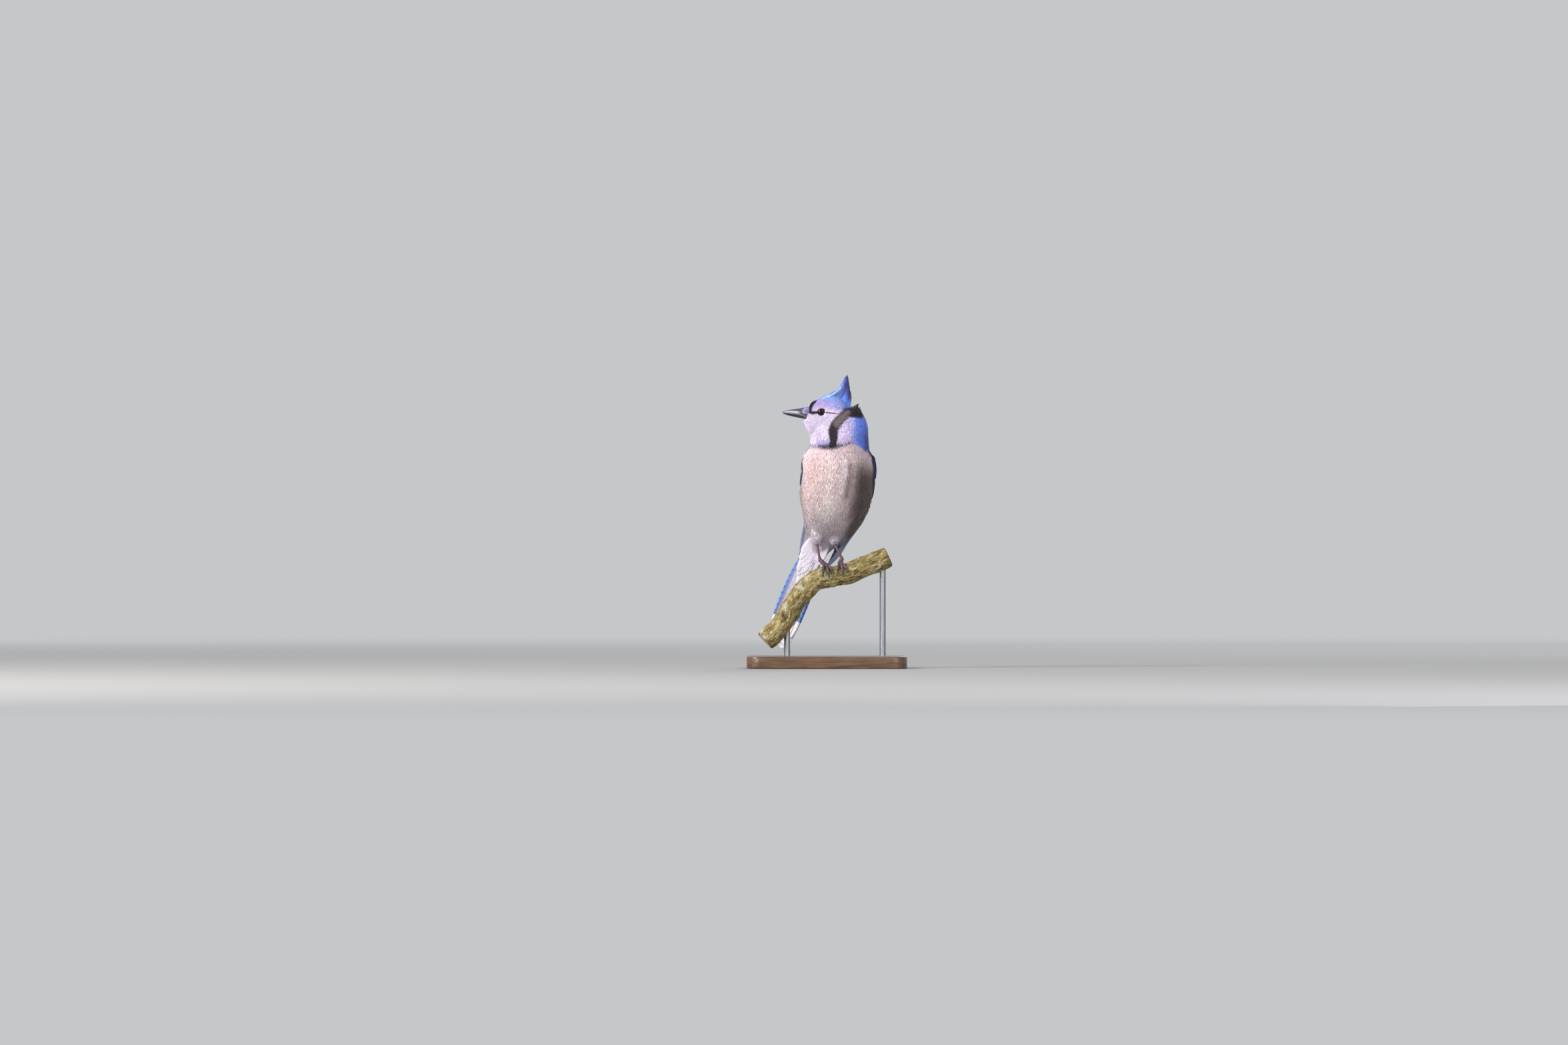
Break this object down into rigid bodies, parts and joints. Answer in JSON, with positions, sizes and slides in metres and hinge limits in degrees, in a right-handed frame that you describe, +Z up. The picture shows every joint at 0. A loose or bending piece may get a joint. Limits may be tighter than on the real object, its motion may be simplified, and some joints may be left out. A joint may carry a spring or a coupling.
{
  "type": "blue jay model",
  "caption": "Life-size display model of a crested songbird, perched upright with its head turned, on a cut branch above a flat stand.",
  "frame": {"origin": "centre of the underside of the stand's base", "axes": "+Z up; the breast faces -Y; +X is the bird's left; the bill points to -X"},
  "size_m": [0.156, 0.136, 0.2848],
  "materials": {
    "head_feathers": "soft, matt feathers",
    "neck_feathers": "soft, matt feathers",
    "breast_feathers": "soft, matt feathers",
    "wing_feathers": "smooth, satin flight feathers",
    "tail_feathers": "smooth, satin flight feathers",
    "thigh_feathers": "downy, matt feathers",
    "bill": "satin horn",
    "eye": "wet gloss",
    "leg_skin": "scaly skin",
    "claw": "satin horn",
    "bark": "rough bark",
    "base_wood": "satin varnish",
    "rod_steel": "brushed"
  },
  "bodies": {
    "root": {"head": "head_feathers", "bill_upper": "bill", "bill_lower": "bill", "eye_left": "eye", "eye_right": "eye", "neck": "neck_feathers", "torso": "breast_feathers", "wing_left": "wing_feathers", "wing_right": "wing_feathers", "tail": "tail_feathers", "thigh_left": "thigh_feathers", "tarsus_left": "leg_skin", "foot_left": "leg_skin", "claw_left_inner": "claw", "claw_left_middle": "claw", "claw_left_outer": "claw", "claw_left_hind": "claw", "thigh_right": "thigh_feathers", "tarsus_right": "leg_skin", "foot_right": "leg_skin", "claw_right_inner": "claw", "claw_right_middle": "claw", "claw_right_outer": "claw", "claw_right_hind": "claw", "perch_branch": "bark", "stand_base": "base_wood", "stand_rod_left": "rod_steel", "stand_rod_right": "rod_steel"}
  },
  "joints": []
}
